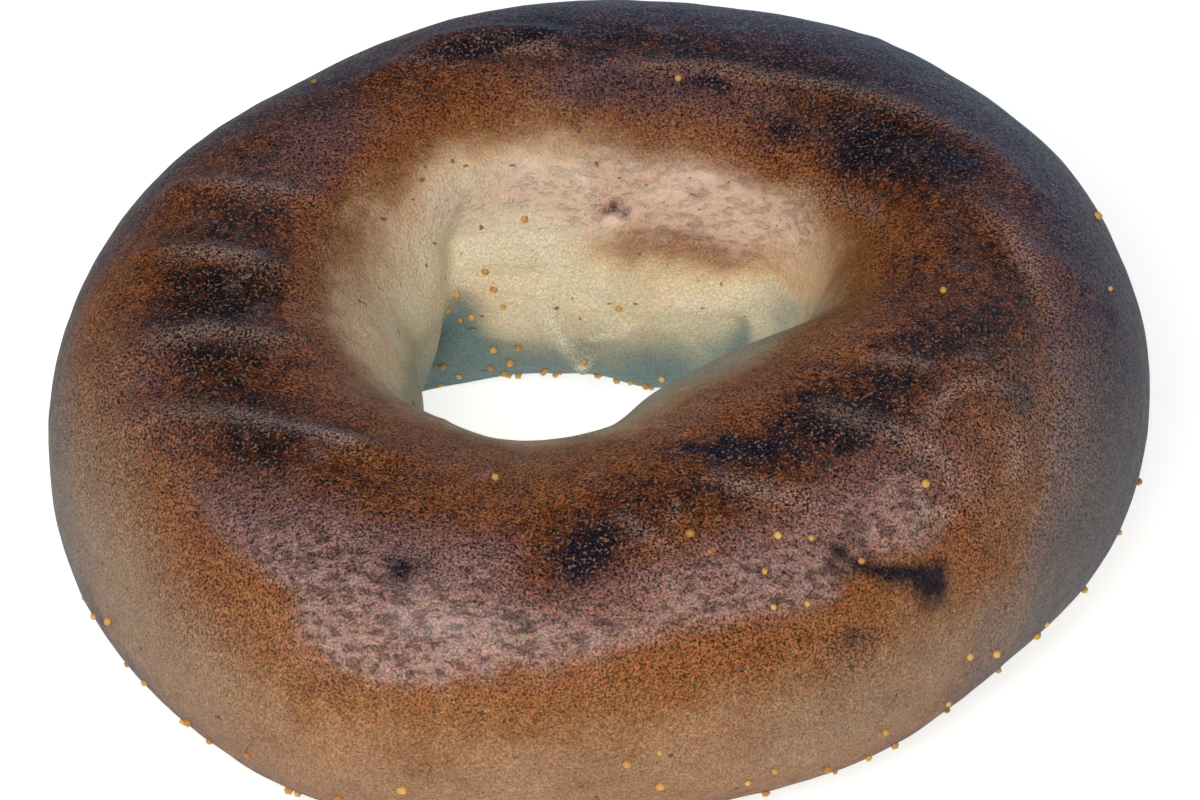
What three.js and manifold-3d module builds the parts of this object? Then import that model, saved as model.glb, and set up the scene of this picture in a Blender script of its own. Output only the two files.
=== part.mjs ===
// A plain boiled and baked bagel: one uneven ring of bread, about 110 mm across, with cornmeal stuck to it.
// Millimetres, +Z up. The ring lies flat on z = 0, with its middle over the origin.
// A place on the ring is given by two angles. Turn goes round the ring, from +X towards +Y. Over goes over
// its section: 0 is the outside, 90 the top, 180 the wall of the hole and 270 the underside.
import * as THREE from "three";
import { mergeVertices } from "three/addons/utils/BufferGeometryUtils.js";
import Module from "manifold-3d";

const wasm = await Module();
wasm.setup();

// The ring as it was shaped by hand: [outer radius, inner radius, crest height] every 30 degrees of turn.
const stations = [
  [55.0, 19.5, 36.0],
  [55.2, 21.5, 36.0],
  [55.6, 18.0, 36.0],
  [54.0, 15.4, 36.0],
  [50.5, 17.6, 35.5],
  [52.2, 18.8, 35.0],
  [55.0, 17.8, 34.0],
  [56.2, 18.6, 32.5],
  [58.0, 18.0, 33.0],
  [52.6, 15.2, 33.5],
  [51.8, 11.6, 35.0],
  [52.8, 14.0, 36.0],
];

// The section through the dough: nearly an ellipse above its widest level, and fuller below, where it sank
// on the tray. Without the tray it would reach sunkDepth lower.
const waistShare = 0.47;
const upperPower = 2.1;
const lowerPower = 2.6;
const sunkDepth = 1.0;

// Slow swells of the dough.
const swells = [
  { roundWaves: 3, overWaves: 1, size: 0.3, phase: 20 },
  { roundWaves: 5, overWaves: 2, size: 0.22, phase: 140 },
  { roundWaves: 8, overWaves: 1, size: 0.16, phase: 250 },
  { roundWaves: 11, overWaves: 3, size: 0.1, phase: 60 },
];

// Folds in the skin, each along a route of [turn, over] in degrees. A crease has a negative rise.
const folds = [
  // Wrinkles that cross the left of the ring, and the troughs between them.
  { route: [[163, 62], [163, 89], [160, 112]], halfWidth: 1.6, rise: 0.6 },
  { route: [[176, 64], [179, 87], [182, 104]], halfWidth: 1.6, rise: 0.6 },
  { route: [[193, 58], [196, 84], [201, 107]], halfWidth: 1.6, rise: 0.6 },
  { route: [[203, 52], [216, 78], [229, 92], [237, 92]], halfWidth: 1.7, rise: 0.7 },
  { route: [[170, 64], [171, 88], [171, 104]], halfWidth: 2.4, rise: -0.45 },
  { route: [[185, 60], [187, 85], [190, 104]], halfWidth: 2.4, rise: -0.45 },
  { route: [[198, 56], [206, 80], [214, 98]], halfWidth: 2.4, rise: -0.45 },
  // The crest's ridge along the back and right, and the trough inside it.
  { route: [[80, 103], [59, 102], [45, 96], [25, 82], [12, 72]], halfWidth: 1.7, rise: 0.55 },
  { route: [[66, 112], [48, 106], [30, 94]], halfWidth: 3.0, rise: -0.5 },
  { route: [[11, 99], [-1, 74], [-3, 54]], halfWidth: 1.6, rise: 0.5 },
  // The shoulder on the right, where the top crust meets the paler side.
  {
    route: [[8, 94], [-4, 81], [-14, 60], [-24, 46], [-31, 30], [-38, 12], [-44, -10], [-52, -18]],
    halfWidth: 1.8,
    rise: -0.55,
  },
  // Skin folded over at the back left.
  { route: [[127, 84], [116, 79], [108, 84], [97, 91]], halfWidth: 1.6, rise: 0.8 },
  { route: [[120, 97], [113, 90], [108, 91], [101, 98]], halfWidth: 1.3, rise: -0.8 },
  // The seam at the back left corner of the hole, where the two ends of the rope of dough were joined.
  { route: [[131, 156], [134, 180], [141, 215]], halfWidth: 2.8, rise: -2.8 },
  { route: [[132, 200], [136, 232]], halfWidth: 4.2, rise: -2.8 },
  // The foot of the wall, which spreads into the hole on the right and draws back on the left.
  { route: [[72, 222], [46, 226]], halfWidth: 5.0, rise: 1.0 },
  { route: [[128, 228], [98, 226]], halfWidth: 4.5, rise: -1.0 },
  // The near lip of the hole, fuller on the right than on the left.
  { route: [[-70, 146], [-35, 146]], halfWidth: 6.0, rise: 0.9 },
  { route: [[-148, 146], [-124, 146]], halfWidth: 5.0, rise: -0.9 },
  // The ledge along the back wall of the hole, and the creases beside it.
  { route: [[88, 174], [71, 182], [46, 179]], halfWidth: 1.5, rise: 0.7 },
  { route: [[90, 168], [72, 174], [48, 172]], halfWidth: 1.5, rise: -0.6 },
  { route: [[127, 171], [110, 173]], halfWidth: 1.2, rise: -0.6 },
  { route: [[46, 184], [44, 197]], halfWidth: 1.6, rise: -0.8 },
  // A run of soft dough that ends in a drop.
  { route: [[111, 178], [106, 188], [97, 203]], halfWidth: 1.2, rise: 0.8 },
  { route: [[95, 204], [95, 206]], halfWidth: 1.3, rise: 1.0 },
  { route: [[95, 191], [76, 187]], halfWidth: 1.0, rise: 0.45 },
  // A dimple with a folded lip above the ledge, and a thin crease beside it.
  { route: [[93, 147], [84, 152], [78, 160]], halfWidth: 1.2, rise: 0.4 },
  { route: [[87, 151], [85, 151]], halfWidth: 1.5, rise: -0.8 },
  { route: [[129, 143], [131, 157]], halfWidth: 0.8, rise: -0.3 },
  // A short crease and a flat blister at the right front.
  { route: [[-56, 48], [-56, 36]], halfWidth: 1.2, rise: -0.7 },
  { route: [[-49, 47], [-51, 42]], halfWidth: 1.5, rise: 0.5 },
];
const stepsPerLeg = 4;

// Steps of the mesh round the ring and over its section.
const ringSteps = 136;
const sectionSteps = 34;

// Cornmeal: coarse grains, half sunk in the skin. Some lie where the dough was handled, as [turn, over].
const grainHalfSizes = [0.38, 0.58];
const grainStretch = [0.8, 1.2];
const grainSunkShare = 0.4;
const cornerGrains = [[125, 170], [124, 176], [133, 177], [136, 181], [129, 185], [122, 181], [116, 198]];
const frontGrains = [[-78, 62], [-76, 55], [-67, 54], [-63, 50], [-58, 38], [-70, 45], [-70, 34], [-66, 32]];
// The others are strewn evenly through bands: low on the outside, round the foot of the hole, and on top.
const grainBands = [
  { turns: [0, 360], overs: [-45, -2], count: 28 },
  { turns: [0, 360], overs: [216, 232], count: 12 },
  { turns: [-16, 344], overs: [40, 150], count: 6 },
];
// They are dropped on the ring from this far outside it.
const grainDrop = 4;
const goldenShare = (Math.sqrt(5) - 1) / 2;
const grainSeed = 11;

const radians = THREE.MathUtils.degToRad;
const lerp = THREE.MathUtils.lerp;

// The stations as one closed curve: x is the outer radius, y the inner radius and z the crest height.
const shapedRing = new THREE.CatmullRomCurve3(
  stations.map((station) => new THREE.Vector3(...station)),
  true,
  "catmullrom",
);

// Raises |value| to a power and keeps its sign, as a superellipse needs.
function signedPower(value, power) {
  return Math.sign(value) * Math.abs(value) ** power;
}

// The section's middle, and how far out and up from it the smooth surface lies.
function sectionAt(turn, over) {
  const share = THREE.MathUtils.euclideanModulo(turn / (2 * Math.PI), 1);
  const { x: outer, y: inner, z: crest } = shapedRing.getPoint(share);
  const waist = waistShare * crest;
  const above = Math.sin(over) > 0;
  const power = 2 / (above ? upperPower : lowerPower);
  return {
    middle: (outer + inner) / 2,
    waist,
    out: ((outer - inner) / 2) * signedPower(Math.cos(over), power),
    up: (above ? crest - waist : waist + sunkDepth) * signedPower(Math.sin(over), power),
  };
}

// The point at that turn whose distance from the section's middle is stretched by a factor.
function pointOf(turn, { middle, waist, out, up }, stretch = 1) {
  const radius = middle + out * stretch;
  return new THREE.Vector3(radius * Math.cos(turn), radius * Math.sin(turn), waist + up * stretch);
}

// A fold's route as short straight lines that lie on the smooth surface.
function linesOf(route) {
  const points = [];
  route.slice(1).forEach(([turn, over], leg) => {
    const [lastTurn, lastOver] = route[leg];
    for (let step = leg ? 1 : 0; step <= stepsPerLeg; step++) {
      const at = step / stepsPerLeg;
      const t = radians(lerp(lastTurn, turn, at));
      const o = radians(lerp(lastOver, over, at));
      points.push(pointOf(t, sectionAt(t, o)));
    }
  });
  return points.slice(1).map((point, i) => new THREE.Line3(points[i], point));
}

const foldLines = folds.map(({ route, halfWidth, rise }) => ({ lines: linesOf(route), halfWidth, rise }));

// How far swells and folds lift the skin at a point of the smooth surface.
function liftAt(turn, over, point) {
  const nearest = new THREE.Vector3();
  let lift = 0;
  for (const { roundWaves, overWaves, size, phase } of swells) {
    lift += size * Math.sin(roundWaves * turn + overWaves * over + radians(phase));
  }
  for (const { lines, halfWidth, rise } of foldLines) {
    const distance = Math.min(
      ...lines.map((line) => line.closestPointToPoint(point, true, nearest).distanceTo(point)),
    );
    lift += rise * Math.exp(-((distance / halfWidth) ** 2));
  }
  return lift;
}

// The finished skin at a place on the ring. Nothing reaches below the flat underside.
function skinAt(turn, over) {
  const section = sectionAt(turn, over);
  const point = pointOf(turn, section);
  const lift = liftAt(turn, over, point);
  point.copy(pointOf(turn, section, 1 + lift / Math.hypot(section.out, section.up)));
  point.z = Math.max(point.z, 0);
  return point;
}

// The ring: a torus whose every vertex is moved to the skin.
function ringGeometry() {
  const torus = new THREE.TorusGeometry(1, 0.5, sectionSteps, ringSteps);
  const position = torus.getAttribute("position");
  const uv = torus.getAttribute("uv");
  for (let i = 0; i < position.count; i++) {
    const turn = (uv.getX(i) % 1) * 2 * Math.PI;
    const over = (uv.getY(i) % 1) * 2 * Math.PI;
    position.setXYZ(i, ...skinAt(turn, over));
  }
  return torus;
}

// The strewn places of one band: evenly round it, and scattered across it by the golden share.
function placesIn({ turns, overs, count }) {
  return Array.from({ length: count }, (_, i) => [
    lerp(...turns, (i + 0.5) / count),
    lerp(...overs, (i * goldenShare) % 1),
  ]);
}

// One grain: an icosahedron, stretched and turned at random, that sinks into the ring where it lies.
function grainGeometry([turnDegrees, overDegrees], ring) {
  const random = THREE.MathUtils.seededRandom;
  const turn = radians(turnDegrees);
  const section = sectionAt(turn, radians(overDegrees));
  const outwards = pointOf(turn, section).sub(pointOf(turn, section, 0)).normalize();
  const above = pointOf(turn, section).addScaledVector(outwards, grainDrop);
  const [{ point, face }] = new THREE.Raycaster(above, outwards.negate()).intersectObject(ring);
  const halfSize = lerp(...grainHalfSizes, random());
  const grain = new THREE.IcosahedronGeometry(halfSize, 0);
  grain.scale(lerp(...grainStretch, random()), lerp(...grainStretch, random()), 1);
  grain.rotateX(random() * Math.PI);
  grain.rotateZ(random() * Math.PI);
  const centre = point.addScaledVector(face.normal, halfSize * (1 - 2 * grainSunkShare));
  return grain.translate(...centre);
}

// A closed solid from a geometry, once the vertices that its faces share are merged.
function solidOf(geometry) {
  geometry.deleteAttribute("normal");
  geometry.deleteAttribute("uv");
  const merged = mergeVertices(geometry);
  return new wasm.Manifold(
    new wasm.Mesh({
      numProp: 3,
      vertProperties: merged.getAttribute("position").array,
      triVerts: new Uint32Array(merged.index.array),
    }),
  );
}

function geometryOf(solid) {
  const mesh = solid.getMesh();
  const geometry = new THREE.BufferGeometry();
  geometry.setAttribute("position", new THREE.BufferAttribute(mesh.vertProperties, 3));
  geometry.setIndex(new THREE.BufferAttribute(mesh.triVerts, 1));
  return geometry;
}

// The grains are fused to the ring, and the whole is set with the middle of its underside at the origin.
function bagelGeometry() {
  THREE.MathUtils.seededRandom(grainSeed);
  const ring = new THREE.Mesh(ringGeometry());
  const places = [...cornerGrains, ...frontGrains, ...grainBands.flatMap(placesIn)];
  const grains = places.map((place) => grainGeometry(place, ring));
  const dusted = grains.reduce((solid, grain) => solid.add(solidOf(grain)), solidOf(ring.geometry));
  const geometry = geometryOf(dusted);
  geometry.computeBoundingBox();
  const middle = geometry.boundingBox.getCenter(new THREE.Vector3());
  geometry.translate(-middle.x, -middle.y, -geometry.boundingBox.min.z);
  geometry.computeVertexNormals();
  return geometry;
}

const bagel = new THREE.Mesh(
  bagelGeometry(),
  new THREE.MeshStandardMaterial({ color: 0x8a5a3c, roughness: 0.5, metalness: 0 }),
);
bagel.name = "bagel";

const part = new THREE.Group();
part.add(bagel);
export default part;
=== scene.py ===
import math
import random

import bmesh
import bpy
import numpy as np
from mathutils import Matrix, Vector, noise


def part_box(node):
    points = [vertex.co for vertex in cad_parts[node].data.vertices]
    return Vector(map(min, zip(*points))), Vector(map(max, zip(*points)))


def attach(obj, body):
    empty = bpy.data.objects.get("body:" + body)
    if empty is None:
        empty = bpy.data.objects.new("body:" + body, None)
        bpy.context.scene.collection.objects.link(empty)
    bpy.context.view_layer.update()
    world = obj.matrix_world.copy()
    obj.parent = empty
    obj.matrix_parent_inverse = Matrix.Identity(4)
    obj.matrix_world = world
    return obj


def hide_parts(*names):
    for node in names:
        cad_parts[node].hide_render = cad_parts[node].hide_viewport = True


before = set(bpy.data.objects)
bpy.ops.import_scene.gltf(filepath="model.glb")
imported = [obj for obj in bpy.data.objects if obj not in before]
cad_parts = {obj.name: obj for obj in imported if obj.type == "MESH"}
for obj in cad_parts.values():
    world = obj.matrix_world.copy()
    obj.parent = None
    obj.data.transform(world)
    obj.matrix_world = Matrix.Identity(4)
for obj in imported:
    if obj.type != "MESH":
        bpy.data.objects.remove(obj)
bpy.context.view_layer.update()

# Camera. It stands in front of the bagel and looks down on it through a long lens, so that the ring fills
# the frame from side to side and its front edge is cut off by the lower border.
mm = 0.001
camera_elevation = math.radians(38)
camera_distance = 0.8
camera_lens = 240
aim = Vector((-0.1, 0.14, 16)) * mm  # near the middle of the bagel, at half its height
away = Vector((0, -math.cos(camera_elevation), math.sin(camera_elevation)))
camera = bpy.data.objects.new("camera", bpy.data.cameras.new("camera"))
camera.data.lens = camera_lens
camera.location = aim + away * camera_distance
camera.rotation_euler = (math.pi / 2 - camera_elevation, 0, 0)
bpy.context.collection.objects.link(camera)
bpy.context.scene.camera = camera
bpy.context.scene.view_settings.view_transform = "Standard"

# Light. One large soft lamp stands just over the camera, so that skin which faces the camera shines.
# Two weaker ones fill the sides, a blue one behind gives the far edges their cool rim, and a pale sky lights
# what they miss.
lamps = [
    # name, azimuth and elevation in degrees, distance, size, power in watts, colour
    ("front_lamp", -10, 43, 0.75, 0.22, 3.7, (1.0, 0.96, 0.92)),
    ("left_lamp", -70, 30, 0.9, 0.5, 1.2, (0.86, 0.93, 1.0)),
    ("right_lamp", 80, 35, 0.9, 0.5, 0.6, (0.86, 0.93, 1.0)),
    ("back_lamp", 160, 10, 0.9, 0.6, 3.2, (0.22, 0.55, 1.0)),
]
for name, azimuth, elevation, distance, size, power, colour in lamps:
    lamp = bpy.data.objects.new(name, bpy.data.lights.new(name, "AREA"))
    lamp.data.energy = power
    lamp.data.size = size
    lamp.data.color = colour
    flat = math.cos(math.radians(elevation))
    way = Vector((
        math.sin(math.radians(azimuth)) * flat,
        -math.cos(math.radians(azimuth)) * flat,
        math.sin(math.radians(elevation)),
    ))
    lamp.location = aim + way * distance
    lamp.rotation_euler = way.to_track_quat("Z", "Y").to_euler()
    bpy.context.collection.objects.link(lamp)
sky = bpy.data.worlds.new("sky")
sky.use_nodes = True
glow = sky.node_tree.nodes["Background"]
glow.inputs["Color"].default_value = (0.80, 0.90, 1.0, 1)
glow.inputs["Strength"].default_value = 0.12
bpy.context.scene.world = sky

# Floor. A plain white table, lit from within a little so that it stays near white round the bagel and
# through its hole.
floor_half = 3.0
floor_mesh = bpy.data.meshes.new("floor")
bm = bmesh.new()
bmesh.ops.create_grid(bm, x_segments=1, y_segments=1, size=floor_half)
bm.to_mesh(floor_mesh)
bm.free()
floor = bpy.data.objects.new("floor", floor_mesh)
bpy.context.collection.objects.link(floor)
white = bpy.data.materials.new("white_table")
white.use_nodes = True
table = white.node_tree.nodes["Principled BSDF"]
table.inputs["Base Color"].default_value = (0.45, 0.45, 0.44, 1)
table.inputs["Roughness"].default_value = 0.9
table.inputs["Emission Color"].default_value = (1.0, 1.0, 0.97, 1)
table.inputs["Emission Strength"].default_value = 0.8
floor_mesh.materials.append(white)

# Crust. The bagel is one ring of bread, rolled as a rope of dough, joined into a ring by hand, boiled and
# baked. Its skin is browned on top, blistered and wrinkled where it swelled, and pale in the hole. It
# replaces the plain solid and keeps its form: stations round the ring, a flattened section, and folds.
stations = np.array([  # outer radius, inner radius and crest height in mm, every 30 degrees of turn
    [55.0, 19.5, 36.0],
    [55.2, 21.5, 36.0],
    [55.6, 18.0, 36.0],
    [54.0, 15.4, 36.0],
    [50.5, 17.6, 35.5],
    [52.2, 18.8, 35.0],
    [55.0, 17.8, 34.0],
    [56.2, 18.6, 32.5],
    [58.0, 18.0, 33.0],
    [52.6, 15.2, 33.5],
    [51.8, 11.6, 35.0],
    [52.8, 14.0, 36.0],
])
waist_share = 0.47
upper_power = 2.1
lower_power = 2.6
sunk_depth = 1.0
swells = [  # waves round the ring, waves over the section, size in mm, phase in degrees
    (3, 1, 0.30, 20),
    (5, 2, 0.22, 140),
    (8, 1, 0.16, 250),
    (11, 3, 0.10, 60),
]
folds = [  # route of (turn, over) in degrees, half width in mm, rise in mm
    # wrinkles across the left of the ring, and the troughs between them
    ([(163, 62), (163, 89), (160, 112)], 1.6, 0.6),
    ([(176, 64), (179, 87), (182, 104)], 1.6, 0.6),
    ([(193, 58), (196, 84), (201, 107)], 1.6, 0.6),
    ([(203, 52), (216, 78), (229, 92), (237, 92)], 1.7, 0.7),
    ([(170, 64), (171, 88), (171, 104)], 2.4, -0.45),
    ([(185, 60), (187, 85), (190, 104)], 2.4, -0.45),
    ([(198, 56), (206, 80), (214, 98)], 2.4, -0.45),
    # the crest's ridge along the back and right, and the trough inside it
    ([(80, 103), (59, 102), (45, 96), (25, 82), (12, 72)], 1.7, 0.55),
    ([(66, 112), (48, 106), (30, 94)], 3.0, -0.5),
    ([(11, 99), (-1, 74), (-3, 54)], 1.6, 0.5),
    # the shoulder on the right
    (
        [(8, 94), (-4, 81), (-14, 60), (-24, 46), (-31, 30), (-38, 12), (-44, -10), (-52, -18)],
        1.8, -0.55,
    ),
    # skin folded over at the back left
    ([(127, 84), (116, 79), (108, 84), (97, 91)], 1.6, 0.8),
    ([(120, 97), (113, 90), (108, 91), (101, 98)], 1.3, -0.8),
    # the seam at the back left corner of the hole
    ([(131, 156), (134, 180), (141, 215)], 2.8, -2.8),
    ([(132, 200), (136, 232)], 4.2, -2.8),
    # the foot of the wall of the hole, and its near lip
    ([(72, 222), (46, 226)], 5.0, 1.0),
    ([(128, 228), (98, 226)], 4.5, -1.0),
    ([(-70, 146), (-35, 146)], 6.0, 0.9),
    ([(-148, 146), (-124, 146)], 5.0, -0.9),
    # the ledge along the back wall, and the creases beside it
    ([(88, 174), (71, 182), (46, 179)], 1.5, 0.7),
    ([(90, 168), (72, 174), (48, 172)], 1.5, -0.6),
    ([(127, 171), (110, 173)], 1.2, -0.6),
    ([(46, 184), (44, 197)], 1.6, -0.8),
    # a run of soft dough that ends in a drop
    ([(111, 178), (106, 188), (97, 203)], 1.2, 0.8),
    ([(95, 204), (95, 206)], 1.3, 1.0),
    ([(95, 191), (76, 187)], 1.0, 0.45),
    # a dimple with a folded lip, and a thin crease beside it
    ([(93, 147), (84, 152), (78, 160)], 1.2, 0.4),
    ([(87, 151), (85, 151)], 1.5, -0.8),
    ([(129, 143), (131, 157)], 0.8, -0.3),
    # a short crease and a flat blister at the right front
    ([(-56, 48), (-56, 36)], 1.2, -0.7),
    ([(-49, 47), (-51, 42)], 1.5, 0.5),
]
route_steps = 4  # straight steps in each leg of a route
ring_steps = 400
section_steps = 240
section_radius = 18.0  # mm, of the round section that the ring is spun from


def signed_power(value, power):
    """The size of each value raised to a power, with the value's own sign."""
    return np.sign(value) * np.abs(value) ** power


def section_at(turn, over):
    """The section's middle and waist at each turn, and how far out and up from them its surface lies."""
    place = turn / math.tau * len(stations)
    leg = np.floor(place).astype(int)
    w = (place - leg)[:, None]
    a, b, c, d = (stations[(leg + step) % len(stations)] for step in (-1, 0, 1, 2))
    outer, inner, crest = (
        b + w * (c - a) / 2 + w**2 * (a - 2.5 * b + 2 * c - 0.5 * d) + w**3 * (1.5 * (b - c) + 0.5 * (d - a))
    ).T
    waist = waist_share * crest
    above = np.sin(over) > 0
    power = np.where(above, 2 / upper_power, 2 / lower_power)
    out = (outer - inner) / 2 * signed_power(np.cos(over), power)
    up = np.where(above, crest - waist, waist + sunk_depth) * signed_power(np.sin(over), power)
    return (outer + inner) / 2, waist, out, up


def point_of(turn, section, stretch=1.0):
    """The points of a section in mm, moved out from its middle by a stretch."""
    middle, waist, out, up = section
    radius = middle + out * stretch
    return np.stack([radius * np.cos(turn), radius * np.sin(turn), waist + up * stretch], -1)


def distance_to(route, points, reach):
    """Each point's distance in mm to a route of (turn, over) places, and its share of the way along it."""
    stops = []
    for leg, (start, end) in enumerate(zip(route, route[1:])):
        for step in range(1 if leg else 0, route_steps + 1):
            stops.append([a + (b - a) * step / route_steps for a, b in zip(start, end)])
    turn, over = np.radians(np.array(stops)).T
    line = point_of(turn, section_at(turn, over))
    distance = np.full(len(points), 1e3)
    share = np.zeros(len(points))
    close = ((points > line.min(0) - reach) & (points < line.max(0) + reach)).all(1)
    near = points[close]
    best = np.full(len(near), 1e3)
    best_share = np.zeros(len(near))
    for number, (a, b) in enumerate(zip(line, line[1:])):
        leg = b - a
        along = np.clip((near - a) @ leg / (leg @ leg + 1e-9), 0, 1)
        here = np.linalg.norm(near - a - along[:, None] * leg, axis=1)
        best_share = np.where(here < best, (number + along) / (len(line) - 1), best_share)
        best = np.minimum(best, here)
    distance[close] = best
    share[close] = best_share
    return distance, share


def stroke(route, half_width, points, tapered=False):
    """1 along a route, fading away over its half width, and towards its ends where it is tapered."""
    distance, share = distance_to(route, points, 3.2 * half_width)
    fade = np.exp(-((distance / half_width) ** 2))
    return fade * np.sin(share * math.pi) ** 0.7 if tapered else fade


def skin_at(turn, over, relief=0.0):
    """The finished skin, where swells, folds and any finer relief lift or sink the plain surface."""
    section = section_at(turn, over)
    plain = point_of(turn, section)
    lift = relief + sum(
        size * np.sin(round_waves * turn + over_waves * over + math.radians(phase))
        for round_waves, over_waves, size, phase in swells
    )
    for route, half_width, rise in folds:
        lift = lift + rise * stroke(route, half_width, plain)
    skin = point_of(turn, section, 1 + lift / np.hypot(section[2], section[3]))
    skin[:, 2] = np.maximum(skin[:, 2], 0)
    return skin


bm = bmesh.new()
bmesh.ops.create_circle(bm, segments=section_steps, radius=section_radius / 2)
bmesh.ops.rotate(bm, verts=bm.verts, matrix=Matrix.Rotation(math.pi / 2, 3, "X"))
bmesh.ops.translate(bm, verts=bm.verts, vec=(2 * section_radius, 0, 0))
bmesh.ops.spin(
    bm,
    geom=bm.verts[:] + bm.edges[:],
    axis=(0, 0, 1),
    angle=math.tau,
    steps=ring_steps,
    use_merge=True,
)
round_ring = np.array([vert.co for vert in bm.verts])
turn = np.arctan2(round_ring[:, 1], round_ring[:, 0])
over = np.arctan2(round_ring[:, 2], np.hypot(round_ring[:, 0], round_ring[:, 1]) - 2 * section_radius)
turn_degrees = np.degrees(turn)
over_degrees = (np.degrees(over) + 90) % 360 - 90
plain = point_of(turn, section_at(turn, over))


def rough(size, seed, points=plain):
    """Cloudy noise from -1 to 1, in lumps of about this size in mm."""
    shift = Vector((seed * 31.7, seed * 17.3, seed * 5.1))
    return np.array([noise.noise(Vector(point) / size + shift) for point in points])


# borders on the skin are irregular, so its colours are looked up a few degrees to the side of each place
broad_waver = 6  # mm
fine_waver = 2.2
turn_degrees += 2.6 * rough(broad_waver, 11) + 1.2 * rough(fine_waver, 12)
over_degrees += 5.5 * rough(broad_waver, 13) + 2.6 * rough(fine_waver, 14)


def apart(degrees, place):
    """How many degrees each angle is past a place, the shorter way round."""
    return (degrees - place + 180) % 360 - 180


def spots(rows):
    """The sum of soft spots. Each has its turn and over in degrees, half lengths in mm, and strength."""
    total = np.zeros(len(turn))
    for spot_turn, spot_over, along, across, strength in rows:
        middle, _, out, _ = section_at(np.radians([spot_turn]), np.radians([spot_over]))
        round_mm = np.radians(apart(turn_degrees, spot_turn)) * (middle + out)
        over_mm = np.radians(apart(over_degrees, spot_over)) * section_radius
        total += strength * np.exp(-((round_mm / along) ** 2) - (over_mm / across) ** 2)
    return total


def level(table, degrees):
    """A level that changes with an angle, between the places of a table that starts and ends alike."""
    return np.interp(degrees, *zip(*table))


# how brown the skin is, from 0 in the hole to 1 where it is burnt, over the section and then place by place
browning = [
    (-90, 0.42), (-60, 0.38), (-30, 0.36), (-10, 0.38), (5, 0.43), (20, 0.50), (35, 0.58), (50, 0.66),
    (65, 0.73), (80, 0.78), (95, 0.78), (110, 0.74), (122, 0.68), (132, 0.56), (140, 0.38), (150, 0.24),
    (160, 0.15), (172, 0.07), (185, 0.05), (205, 0.06), (230, 0.12), (250, 0.25), (270, 0.42),
]
hole_shift = [  # the pale hole starts this many degrees further over the top
    (-180, -16), (-150, -17), (-120, -24), (-90, -24), (-60, -20), (-30, -12), (0, 0), (30, -5), (60, -9),
    (90, -11), (120, -15), (150, -18), (180, -16),
]
inner_half = np.clip((over_degrees - 80) / 30, 0, 1)
shifted = over_degrees - level(hole_shift, turn_degrees) * inner_half
bake = level(browning, shifted) + spots([
    # the left, darkest between its wrinkles
    (172, 88, 5, 7, 0.14), (-172, 88, 6, 8, 0.16), (-160, 82, 7, 7, 0.12), (-140, 80, 9, 5, 0.14),
    (-147, 70, 8, 5, 0.08), (152, 95, 8, 6, 0.06), (165, 118, 10, 5, 0.04), (-165, 128, 10, 5, -0.08),
    # the front
    (-112, 90, 12, 4, -0.06), (-90, 84, 10, 5, -0.04), (-91, 66, 5, 3.5, 0.16), (-82, 76, 8, 3, 0.08),
    (-100, 104, 12, 5, -0.12), (-132, 24, 6, 4, 0.06), (-105, 18, 14, 3, 0.06), (-75, 22, 12, 4, 0.10),
    (-150, 20, 14, 8, -0.08),
    # the right front
    (-54, 77, 7, 4, 0.20), (-38, 80, 8, 4, 0.14), (-24, 74, 6, 4, 0.10), (-30, 92, 8, 3, 0.10),
    (-42, 20, 3.5, 9, 0.10), (-62, 14, 3, 2, 0.20), (-27, 104, 12, 6, -0.08), (-50, 108, 10, 5, -0.10),
    # the right
    (-12, 96, 6, 3, 0.06), (-2, 84, 5, 3, 0.05), (-15, 76, 4, 2.5, 0.08), (5, 110, 8, 4, 0.04),
    (0, 128, 12, 5, -0.08), (15, 118, 8, 4, -0.06),
    # the back
    (30, 108, 9, 5, 0.24), (48, 116, 7, 3, 0.16), (26, 126, 5, 3, 0.12), (66, 95, 14, 3, 0.14),
    (90, 94, 8, 3, 0.10), (70, 128, 20, 2.5, 0.05), (118, 118, 12, 5, -0.05), (140, 122, 8, 5, 0.03),
    # the band along the back wall, and painted shade in the dimple in it
    (50, 163, 8, 2.2, 0.14), (68, 163, 9, 2.4, 0.20), (84, 160, 6, 1.6, 0.14), (86, 151, 2.4, 0.5, 0.30),
    (30, 150, 6, 5, 0.06), (115, 145, 8, 6, -0.16), (132, 140, 6, 6, -0.14), (100, 158, 8, 4, -0.10),
])

# burnt places, blue-black
scorch = spots([
    (-66.5, 85.5, 3.4, 1.7, 1.3), (-62, 80, 3.0, 1.5, 0.6), (-50, 21, 1.9, 2.6, 1.1),
    (-54, 29, 2.6, 1.2, 0.5), (-91.5, 63, 2.8, 2.4, 1.1), (-91, 53, 2.8, 1.6, 0.7),
    (-46, 76, 3.0, 1.8, 0.5), (-111.5, 56, 2.2, 1.8, 0.9), (67, 110, 2.4, 1.2, 1.0),
    (48, 118, 1.6, 1.4, 0.7), (33, 108, 5.5, 2.4, 0.9), (20, 93, 5.0, 2.0, 0.9), (84, 112, 6.0, 1.6, 0.5),
    (49, 88, 4.0, 1.4, 0.6), (90, 101, 1.6, 0.8, 0.6), (100, 84, 3.5, 2.4, 0.9), (112, 88, 2.5, 1.2, 0.6),
    (140, 84, 3.0, 1.8, 0.7), (-62, 15, 2.0, 1.2, 0.4), (-56, -6, 1.5, 1.2, 0.35), (-4.5, 42, 1.3, 1.3, 0.5),
    (1.5, 61, 1.4, 2.0, 0.5), (-98, 40, 0.9, 0.9, 0.6), (-89, 41, 1.0, 0.5, 0.5), (-112, 41, 0.9, 0.6, 0.4),
    (-124, 37, 0.8, 0.6, 0.4), (-148, 42, 1.0, 1.0, 0.4), (-76, 94, 2.5, 0.8, 0.5),
])
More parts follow.
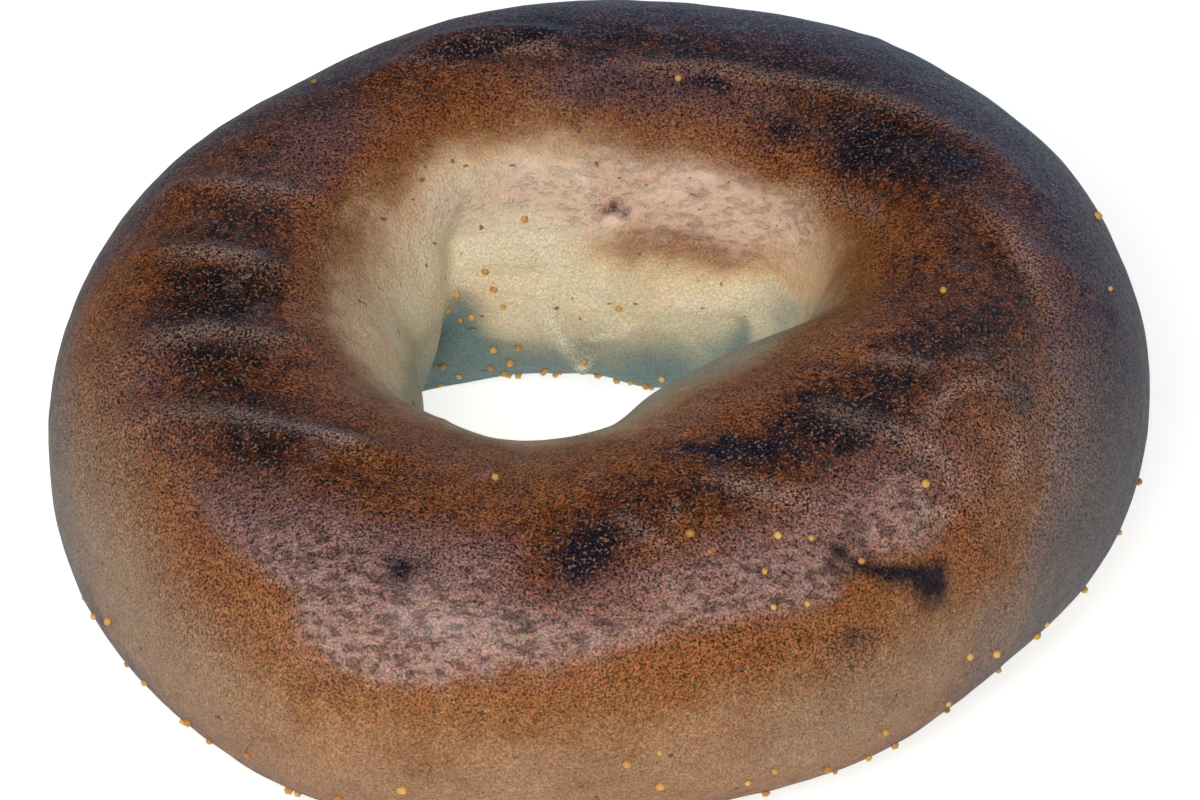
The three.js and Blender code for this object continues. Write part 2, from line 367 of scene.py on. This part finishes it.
for route, half_width, strength in [
    ([(-61, 48), (-59, 38), (-55, 31), (-50, 24)], 0.9, 0.8),
    ([(-59, 47), (-62, 40), (-60, 33)], 0.7, 0.6),
    ([(-77, 96), (-70, 88), (-63, 83)], 0.8, 0.7),
    ([(95, 92), (105, 90), (118, 85), (124, 80)], 1.0, 0.6),
]:
    scorch += strength * stroke(route, half_width, plain, tapered=True)

# the thin satin film on skin that swelled and wrinkled: it makes the skin glossier, and its pink is a
# painted highlight of its sheen
sheen_film_start = level([
    (-180, 50), (-140, 50), (-128, 44), (-120, 34), (-115, 24), (-102, 23), (-92, 28), (-80, 31), (-64, 30),
    (-60, 34), (-50, 34), (-44, 40), (180, 50),
], turn_degrees)
sheen_film_end = level([
    (-180, 64), (-140, 66), (-130, 70), (-103, 72), (-97, 54), (-86, 50), (-78, 58), (-62, 60), (-50, 66),
    (-44, 60), (180, 60),
], turn_degrees)
film = (
    np.clip((over_degrees - sheen_film_start + 1) / 7, 0, 1)
    * np.clip((sheen_film_end + 6 - over_degrees) / 26, 0, 1)
    * level([(-180, 0), (-152, 0), (-126, 0.85), (-50, 0.8), (-38, 0), (180, 0)], turn_degrees)
) + spots([
    (-114, 30, 6, 3, 0.40), (-98, 30, 8, 2.5, 0.30), (-126, 56, 6, 3, 0.20), (-68, 42, 5, 3, 0.40),
    (-100, 52, 5, 3, -0.15), (-84, 42, 3, 3, -0.10), (-92, 36, 6, 3, 0.15), (-60, 40, 2, 3, -0.2),
    (-118, 48, 6, 4, 0.15), (-80, 38, 5, 3, 0.20), (-104, 38, 6, 4, 0.20),
    (36, 146, 5, 3.4, 0.5), (48, 150, 6, 3.2, 0.8), (60, 149, 6, 3.6, 0.9), (74, 147, 7, 3.8, 0.9),
    (90, 145, 6, 3.2, 0.8), (104, 143, 7, 3.6, 0.5), (118, 144, 7, 3.6, 0.4), (130, 140, 6, 3.4, 0.3),
    (142, 138, 5, 3.0, 0.3),
])

# a painted dull sheen, purple-grey, on skin of the same kind
mauve = spots([
    (-134, 58, 6, 4.0, 0.6), (-120, 60, 8, 4.0, 0.8), (-106, 62, 6, 3.5, 0.7), (-84, 50, 6, 3.0, 0.6),
    (-72, 50, 6, 3.5, 0.7), (-56, 54, 5, 4.5, 0.8), (-98, 46, 6, 3.0, 0.4), (72, 113, 15, 3.2, 0.8),
    (92, 108, 6, 2.5, 0.6), (145, 96, 6, 4.0, 0.5), (106, 86, 7, 3.5, 0.7), (-160, 54, 9, 5.0, 0.5),
    (160, 96, 8, 6.0, 0.3), (-40, 50, 5, 6.0, 0.4), (-24, 28, 8, 12.0, 0.5), (-110, 108, 16, 4.0, 0.25),
    (-60, 108, 14, 3.0, 0.3), (175, 132, 14, 5.0, 0.15), (-150, 120, 14, 5.0, 0.25),
])

# painted highlights, pale, on the tops of wrinkles and folds
ridge_highlight_strength = 0.85
rubbed = np.zeros(len(turn))
for route, half_width, strength in [
    ([(162, 66), (163, 89), (160, 112)], 1.3, 0.55),
    ([(178, 66), (179, 87), (183, 108)], 1.3, 0.60),
    ([(193, 60), (196, 84), (203, 110)], 1.4, 0.55),
    ([(203, 54), (213, 78), (223, 90), (236, 92)], 1.3, 0.75),
    ([(221, 88), (228, 91.5), (233, 92)], 0.7, 0.60),
    ([(97, 100), (80, 104), (59, 101), (45, 95), (25, 83), (12, 74)], 0.9, 0.55),
    ([(10, 92), (2, 80), (-6, 70), (-14, 61)], 1.5, 0.50),
    ([(-88, 75), (-85, 68), (-80, 57)], 1.0, 0.50),
    ([(-79, 76), (-80, 64)], 0.6, 0.40),
    ([(-74, 82), (-69, 73), (-62, 62), (-60, 56)], 1.3, 0.65),
    ([(-51, 90), (-48, 78), (-44, 64), (-42, 50), (-41, 36)], 1.4, 0.65),
    ([(-42, 60), (-38, 67), (-32, 68), (-28, 62), (-27, 52)], 0.8, 0.60),
    ([(-36, 34), (-33, 40), (-31, 50)], 1.0, 0.60),
    ([(-37, 94), (-34, 86), (-31, 74)], 1.0, 0.50),
    ([(-51, 60), (-47, 54), (-48, 44), (-52, 33)], 0.7, 0.80),
    ([(-55, 58), (-51, 52), (-52, 42)], 0.5, 0.50),
    ([(-49, 44), (-46, 40), (-44, 37)], 0.9, 0.70),
    ([(44, 139), (32, 132), (18, 124), (10, 118)], 1.0, 0.40),
    ([(96, 100), (99, 94), (106, 90), (116, 87)], 0.8, 0.70),
    ([(112, 88), (120, 85), (126, 78)], 0.6, 0.50),
    ([(126, 148), (127, 160), (125, 168)], 0.8, 0.60),
    ([(44, 180), (58, 180), (72, 181)], 0.5, 0.90),
    ([(77, 188), (86, 189), (95, 191)], 0.5, 0.80),
    ([(112, 177), (106, 188), (97, 203)], 0.9, 0.70),
    ([(97, 200), (94, 205)], 1.0, 0.90),
    ([(118, 150), (110, 160), (106, 170)], 1.2, 0.50),
]:
    rubbed += ridge_highlight_strength * strength * stroke(route, half_width, plain, tapered=True)

# painted shade: dark lines in creases, and along the shoulder on the right
crease_shade_strength = 1.5
for route, half_width, strength in [
    (
        [(6, 98), (0, 84), (-9, 72), (-16, 63), (-23, 58), (-29, 50), (-33, 38), (-38, 20), (-42, 0)],
        1.2, 0.07,
    ),
    ([(-30, 62), (-26, 52), (-29, 44)], 1.0, 0.14),
    ([(-20, 106), (-8, 112), (4, 118)], 0.8, 0.12),
    ([(-22, 100), (-10, 104), (2, 110)], 0.7, 0.10),
    ([(-48, 62), (-45, 54), (-46, 42)], 0.7, 0.16),
    ([(-113, 24), (-117, 17), (-120, 10)], 0.6, 0.08),
    ([(78, 154), (85, 151), (92, 153)], 0.5, 0.30),
    ([(58, 142), (62, 146), (66, 143)], 0.4, 0.14),
]:
    bake += crease_shade_strength * strength * stroke(route, half_width, plain, tapered=True)

# painted shade with a blue reflection round the outside of the ring, between where it starts and where it is
# fullest
rim_shade_start = level([
    (-180, 50), (-165, 38), (-150, 12), (-120, -6), (-90, -16), (-60, -16), (-45, -6), (-38, 12), (-31, 30),
    (-24, 46), (-14, 60), (-4, 74), (8, 88), (30, 97), (60, 98), (90, 94), (105, 92), (130, 88), (150, 84),
    (165, 70), (180, 50),
], turn_degrees)
rim_shade_full = level([
    (-180, 2), (-165, -10), (-150, -30), (-120, -42), (-90, -48), (-60, -44), (-38, -42), (-31, -28),
    (-24, -12), (-14, 6), (-4, 24), (8, 44), (30, 54), (60, 60), (90, 62), (130, 58), (150, 44), (165, 26),
    (180, 2),
], turn_degrees)
cool = np.clip((rim_shade_start - over_degrees) / (rim_shade_start - rim_shade_full), 0, 1) * level([
    (-180, 1), (-165, 1), (-150, 0.7), (-130, 0.35), (-60, 0.35), (-42, 0.5), (-36, 0.8), (0, 1), (180, 1),
], turn_degrees)
cool *= np.clip((over_degrees - rim_shade_full + 60) / 60, 0, 1)

# the flank below the shoulder on the right gets the painted purple-grey sheen, and low places are greyed
# towards beige, partly flour dust and partly painted cool shade
right_flank = np.clip((rim_shade_start - over_degrees) / 4, 0, 1) * level([
    (-180, 0), (-50, 0), (-42, 0.6), (-36, 1), (-8, 0.9), (8, 0.4), (20, 0), (180, 0),
], turn_degrees)
mauve += 0.75 * right_flank
dusty = spots([
    (-60, -6, 14, 7, 0.6),
    (-158, 14, 18, 9, 1.0), (-135, 4, 14, 7, 0.5), (-100, -12, 30, 6, 0.5), (-28, 14, 10, 12, 0.5),
    (-20, 34, 8, 8, 0.4), (-40, -12, 10, 6, 0.6),
])

# the blue-green shade low in the hole, which starts where the wall turns under
shade_start = level([
    (-180, 148), (-150, 132), (-120, 114), (-60, 110), (-30, 112), (0, 134), (30, 158), (45, 172), (70, 177),
    (128, 178), (140, 162), (155, 156), (180, 152),
], turn_degrees)
shade = np.clip((over_degrees - shade_start) / 36, 0, 1) * np.clip((272 - over_degrees) / 20, 0, 1)
shade = np.minimum(shade, np.interp(over_degrees, [180, 208], [0.5, 1]))
shade += 0.8 * stroke([(131, 170), (132, 190), (130, 206), (128, 236)], 1.5, plain, tapered=True)
shade += 0.3 * stroke([(46, 196), (44, 184)], 1.0, plain)

# finer relief in mm: soft lumps, wrinkles in the film, a rough patch with pits, and blisters on top
relief = 0.10 * rough(5.0, 1) + 0.05 * rough(2.2, 2)
wrinkled = np.clip(film, 0, 1)
slanted_points = plain @ np.array([[0.75, 0.25, 0], [-0.25, 0.9, 0], [0, 0, 0.9]])
relief += 0.16 * wrinkled * rough(1.6, 3, slanted_points)
rough_patch = np.clip(spots([(-54, 46, 5, 4, 1.0), (-60, 38, 3, 3, 0.8)]), 0, 1)
relief += rough_patch * (0.25 * rough(1.3, 4) - 0.2 * np.abs(rough(0.9, 5)))
blister_count = 130
chance = random.Random(5)
blisters = []
for _ in range(blister_count):
    half_length = chance.uniform(0.5, 1.0)
    blister_turn = chance.uniform(-180, 180)
    blister_over = chance.gauss(92, 26)
    rise = chance.uniform(0.08, 0.18)
    blisters.append((blister_turn, blister_over, half_length, half_length, rise))
blistered = spots(blisters)
relief += blistered
# blisters take more of the film, so its painted pink highlight shows on them
film += 1.6 * blistered

skin = skin_at(turn, over, relief)

# the ring stands off centre on its stations, so it is moved to the middle of the plain solid's box
cad_low, cad_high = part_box("bagel")
low = skin.min(0) * mm
high = skin.max(0) * mm
shift = np.array([
    (cad_low.x + cad_high.x - low[0] - high[0]) / 2,
    (cad_low.y + cad_high.y - low[1] - high[1]) / 2,
    0,
])
for vert, place in zip(bm.verts, skin * mm + shift):
    vert.co = place
bmesh.ops.recalc_face_normals(bm, faces=bm.faces)
crust_mesh = bpy.data.meshes.new("crust")
bm.to_mesh(crust_mesh)
bm.free()
crust_mesh.shade_smooth()
fields = {
    "bake": bake, "scorch": scorch, "film": film, "mauve": mauve, "rubbed": rubbed, "cool": cool,
    "dusty": dusty, "shade": shade,
}
for name, values in fields.items():
    field = crust_mesh.attributes.new(name, "FLOAT", "POINT")
    field.data.foreach_set("value", np.clip(values, 0, 1).astype(np.float32))
crust = bpy.data.objects.new("crust", crust_mesh)
bpy.context.collection.objects.link(crust)


class Value:
    """A value in a material. Sums, differences and products of values add the Math nodes they need."""

    def __init__(self, tree, socket=None):
        self.tree = tree
        self.socket = socket

    def node(self, kind, settings=None, sockets=None, output=0):
        """Adds a node. Its settings come first, then the numbers or values of its sockets."""
        made = self.tree.nodes.new(kind)
        for name, setting in (settings or {}).items():
            if name == "stops":
                ramp = made.color_ramp
                while len(ramp.elements) < len(setting):
                    ramp.elements.new(1.0)
                for element, (position, colour) in zip(ramp.elements, setting):
                    element.position = position
                    element.color = (*colour, 1)
            else:
                setattr(made, name, setting)
        for name, value in (sockets or {}).items():
            if isinstance(value, Value):
                self.tree.links.new(value.socket, made.inputs[name])
            else:
                made.inputs[name].default_value = value
        return Value(self.tree, made.outputs[output])

    def math(self, operation, first, second):
        """One Math node on two numbers or values."""
        return self.node("ShaderNodeMath", {"operation": operation}, {0: first, 1: second})

    def __add__(self, other):
        return self.math("ADD", self, other)

    __radd__ = __add__

    def __sub__(self, other):
        return self.math("SUBTRACT", self, other)

    def __rsub__(self, other):
        return self.math("SUBTRACT", other, self)

    def __mul__(self, other):
        return self.math("MULTIPLY", self, other)

    __rmul__ = __mul__

    def clamped(self):
        """The value, held between 0 and 1."""
        return self.node("ShaderNodeClamp", sockets={"Value": self})

    def between(self, low, high):
        """0 below the low value, 1 above the high one, and a smooth rise between them."""
        limits = {"Value": self, "From Min": low, "From Max": high}
        return self.node("ShaderNodeMapRange", {"interpolation_type": "SMOOTHSTEP"}, limits)

    def field(self, name):
        """One of the piece's own fields on its points."""
        return self.node("ShaderNodeAttribute", {"attribute_name": name}, output="Fac")

    def vector(self, operation, first, second, third=None):
        """Arithmetic on colours, channel by channel, or a colour scaled by a number."""
        sockets = {0: first, "Scale" if operation == "SCALE" else 1: second}
        if third:
            sockets[2] = third
        return self.node("ShaderNodeVectorMath", {"operation": operation}, sockets)

    def cloud(self, place, size, detail=2.0, roughness=0.5, output="Fac"):
        """Cloudy noise from 0 to 1, in lumps of this size in metres."""
        wants = {"Vector": place, "Scale": 1 / size, "Detail": detail, "Roughness": roughness}
        return self.node("ShaderNodeTexNoise", sockets=wants, output=output)

    def mix(self, first, second, share):
        """The first colour, with this share of the second."""
        return self.node("ShaderNodeMix", {"data_type": "RGBA"}, {0: share, 6: first, 7: second}, output=2)


crust_material = bpy.data.materials.new("baked_crust")
crust_material.use_nodes = True
tree = crust_material.node_tree
start = Value(tree)
place = start.node("ShaderNodeTexCoord", output="Object")
grain_size = 0.23 * mm
tint_size = 0.27 * mm
speck_size = 0.30 * mm
fleck_size = 0.9 * mm
mottle_size = 1.3 * mm
wrinkle_size = 1.5 * mm
drift_size = 8 * mm
grain = start.cloud(place, grain_size, 2.0)
tinted_grain = start.cloud(place, tint_size, 1.0, output="Color")
specks = start.cloud(place, speck_size, 2.0)
flecks = start.cloud(place, fleck_size, 0.0)
mottle = start.cloud(place, mottle_size, 3.0, 0.65)
drift = start.cloud(place, drift_size, 3.0, 0.6)
stretched = {"Vector": place, "Rotation": (0.0, -0.6, 0.3), "Scale": (1, 1.7, 1.9)}
slanted_place = start.node("ShaderNodeMapping", sockets=stretched)
wrinkles = start.cloud(slanted_place, wrinkle_size, 4.0, 0.62)
creases = (0.46 - wrinkles).between(0.0, 0.08)
brown_and_shade = start.field("bake")
film = start.field("film")
rubbed = start.field("rubbed")
cool = start.field("cool")
shade = start.field("shade")
dark = brown_and_shade.between(0.2, 0.75)
tone = brown_and_shade + (drift - 0.5) * 0.26 + (mottle - 0.5) * (0.08 + dark * 0.55) + dark * 0.03
crust_tones = [  # from the pale hole to burnt skin
    (0.00, (0.86, 0.75, 0.52)),
    (0.18, (0.76, 0.52, 0.30)),
    (0.35, (0.40, 0.20, 0.09)),
    (0.50, (0.27, 0.105, 0.030)),
    (0.65, (0.23, 0.070, 0.014)),
    (0.80, (0.135, 0.036, 0.007)),
    (0.92, (0.045, 0.012, 0.004)),
    (1.00, (0.007, 0.004, 0.004)),
]
colour = start.node("ShaderNodeValToRGB", {"stops": crust_tones}, {0: tone.clamped()})
# a painted dull sheen, purple-grey
mauve_sheen_tint = (0.145, 0.088, 0.105, 1)
colour = start.mix(colour, mauve_sheen_tint, start.field("mauve") * (0.35 + mottle * 0.7))

# the film's painted pink highlight, with painted shade in the creases between its wrinkles
sheen_on_pale = (0.76, 0.50, 0.37, 1)
sheen_on_brown = (0.34, 0.19, 0.18, 1)
crease_shade_brown = (0.05, 0.02, 0.018, 1)
sheen_pink = start.mix(sheen_on_pale, sheen_on_brown, dark)
sheen_here = film * (0.6 + wrinkles.between(0.3, 0.7) * 0.4)
colour = start.mix(colour, sheen_pink, (sheen_here * 0.9).clamped())
colour = start.mix(colour, crease_shade_brown, creases * film * (dark * 0.2))

# the painted shade and blue reflection round the outside, low places greyed by dust and painted shade, and
# the shade in the hole
rim_shade_violet = (0.028, 0.025, 0.052, 1)
rim_shade_slate = (0.036, 0.066, 0.092, 1)
dust_and_shade_beige = (0.25, 0.21, 0.17, 1)
shade_olive = (0.33, 0.32, 0.22, 1)
shade_teal = (0.035, 0.14, 0.165, 1)
rim_shade_tone = start.mix(rim_shade_violet, rim_shade_slate, cool.between(0.3, 1.0))
colour = start.mix(colour, rim_shade_tone, (cool.between(0.0, 0.5) * (0.75 + (mottle - 0.5) * 0.8)).clamped())
colour = start.mix(colour, dust_and_shade_beige, start.field("dusty") * 0.6)
shade_tone = start.mix(shade_olive, shade_teal, shade.between(0.25, 1.0))
colour = start.mix(colour, shade_tone, shade.between(0.0, 0.7) * 0.85)

# painted highlights on wrinkles and folds, burnt places and stray dark flecks
highlight_on_pale = (0.92, 0.84, 0.68, 1)
highlight_on_brown = (0.42, 0.28, 0.23, 1)
blue_black = (0.005, 0.005, 0.014, 1)
fleck_brown = (0.07, 0.05, 0.04, 1)
highlight_here = rubbed * (0.35 + grain.between(0.4, 0.6) * 0.65)
highlight_tone = start.mix(highlight_on_pale, highlight_on_brown, dark)
colour = start.mix(colour, highlight_tone, highlight_here.clamped() * 0.8)
colour = start.mix(colour, blue_black, (start.field("scorch") * (0.6 + mottle * 1.2)).clamped() * 0.95)
colour = start.mix(colour, fleck_brown, flecks.between(0.80, 0.83) * 0.7)

# the skin's grit: fine light and dark grains with a slight tint, strongest where it is dark, with painted
# light and shade on the film's wrinkles; and pale specks, painted glints of tiny blisters
tint_gain = (1.2, 1.2, 1.2)
tint_base = (0.4, 0.4, 0.4)
darkest_grit = (0.08, 0.08, 0.08)
blister_glint = (0.38, 0.20, 0.13, 1)
grit = start.vector("MULTIPLY_ADD", tinted_grain, tint_gain, tint_base)
light_here = 0.5 + (grain - 0.5) * (1.1 + dark * 2.4 - film * 1.3) + film * (wrinkles - 0.5) * 0.8
grit = start.vector("SCALE", grit, light_here.clamped() * 2)
grit = start.vector("MAXIMUM", grit, darkest_grit)
gritty = start.vector("MULTIPLY", colour, grit)
colour = start.mix(colour, gritty, (0.45 + dark * 0.55).clamped())
glint_here = specks.between(0.55, 0.68) * (brown_and_shade.between(0.45, 0.75) * 0.7)
colour = start.mix(colour, blister_glint, glint_here)

# how rough and how bumpy the skin is
bump_height = 0.4 * mm
roughness = 0.55 - film * 0.12 + (mottle - 0.5) * 0.25
height = grain * 0.3 + specks * 0.5 + mottle * 0.7
height = height + film * (0.4 + dark * 0.8) * (wrinkles * 3 - creases * 0.5)
bump = start.node("ShaderNodeBump", {}, {"Strength": 1.0, "Distance": bump_height, "Height": height})
finish = tree.nodes["Principled BSDF"]
finish.inputs["Specular IOR Level"].default_value = 0.1
finish.inputs["Coat Roughness"].default_value = 0.36
tree.links.new(colour.socket, finish.inputs["Base Color"])
tree.links.new(roughness.clamped().socket, finish.inputs["Roughness"])
tree.links.new((film * 0.4).clamped().socket, finish.inputs["Coat Weight"])
tree.links.new(bump.socket, finish.inputs["Normal"])
crust_mesh.materials.append(crust_material)
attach(crust, "root")
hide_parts("bagel")

# Cornmeal. Coarse yellow grains stick to the skin where the dough was laid down or handled: in the corner
# of the hole, on top at the front, low on the outside, round the foot of the hole and underneath.
corner_grains = [(125, 170), (124, 176), (133, 177), (136, 181), (129, 185), (122, 181), (116, 198)]
front_grains = [(-78, 62), (-76, 55), (-67, 54), (-63, 50), (-58, 38), (-70, 45), (-70, 34), (-66, 32)]
seen_grains = [
    (117, 209), (122, 202), (131, 187), (82, 181), (113, 153), (95, 200), (-14, 92), (0, 42), (-87, -5),
]
golden_share = (math.sqrt(5) - 1) / 2
grain_bands = [  # first and last turn, first and last over, how many
    (0, 360, -45, -2, 28),
    (0, 360, 216, 232, 12),
    (-16, 344, 40, 150, 6),
    (0, 360, -60, -12, 110),
    (0, 360, 212, 236, 70),
    (0, 360, 238, 300, 170),
]
grain_half_sizes = (0.30, 0.50)  # mm
grain_stretch = (0.8, 1.2)
grain_rise_share = 0.25
places = corner_grains + front_grains + seen_grains
for first_turn, last_turn, first_over, last_over, count in grain_bands:
    for i in range(count):
        places.append((
            first_turn + (last_turn - first_turn) * (i + 0.5) / count,
            first_over + (last_over - first_over) * (i * golden_share % 1),
        ))
places = np.radians(np.array(places))

# each grain is turned at random, and its middle lies a quarter of its half size above the skin
small_step = 0.01
grain_skin = skin_at(places[:, 0], places[:, 1])
turned = skin_at(places[:, 0] + small_step, places[:, 1]) - grain_skin
tilted = skin_at(places[:, 0], places[:, 1] + small_step) - grain_skin
outwards = np.cross(turned, tilted)
outwards /= np.linalg.norm(outwards, axis=1)[:, None]
chance = random.Random(11)
bm = bmesh.new()
for point, normal in zip(grain_skin, outwards):
    half = chance.uniform(*grain_half_sizes)
    centre = point + normal * half * grain_rise_share
    centre[2] = max(centre[2], grain_stretch[1] * half)
    shape = Matrix.Translation(Vector(centre * mm + shift))
    shape @= Matrix.Rotation(chance.uniform(0, math.tau), 4, Vector(chance.uniform(-1, 1) for _ in range(3)))
    shape @= Matrix.Diagonal((chance.uniform(*grain_stretch), chance.uniform(*grain_stretch), 1, 1))
    bmesh.ops.create_icosphere(bm, subdivisions=1, radius=half * mm, matrix=shape)
cornmeal_mesh = bpy.data.meshes.new("cornmeal")
bm.to_mesh(cornmeal_mesh)
bm.free()
cornmeal_mesh.shade_smooth()
cornmeal = bpy.data.objects.new("cornmeal", cornmeal_mesh)
bpy.context.collection.objects.link(cornmeal)
cornmeal_material = bpy.data.materials.new("yellow_cornmeal")
cornmeal_material.use_nodes = True
tree = cornmeal_material.node_tree
start = Value(tree)
place = start.node("ShaderNodeTexCoord", output="Object")
deep_yellow = (0.46, 0.20, 0.035, 1)
pale_yellow = (0.74, 0.44, 0.12, 1)
shades = start.cloud(place, 3 * mm, 2.0)
colour = start.mix(deep_yellow, pale_yellow, shades.between(0.35, 0.65))
finish = tree.nodes["Principled BSDF"]
finish.inputs["Roughness"].default_value = 0.55
bump_height = 0.05 * mm
height = start.cloud(place, 0.15 * mm)
bump = start.node("ShaderNodeBump", {}, {"Strength": 0.3, "Distance": bump_height, "Height": height})
tree.links.new(colour.socket, finish.inputs["Base Color"])
tree.links.new(bump.socket, finish.inputs["Normal"])
cornmeal_mesh.materials.append(cornmeal_material)
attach(cornmeal, "root")
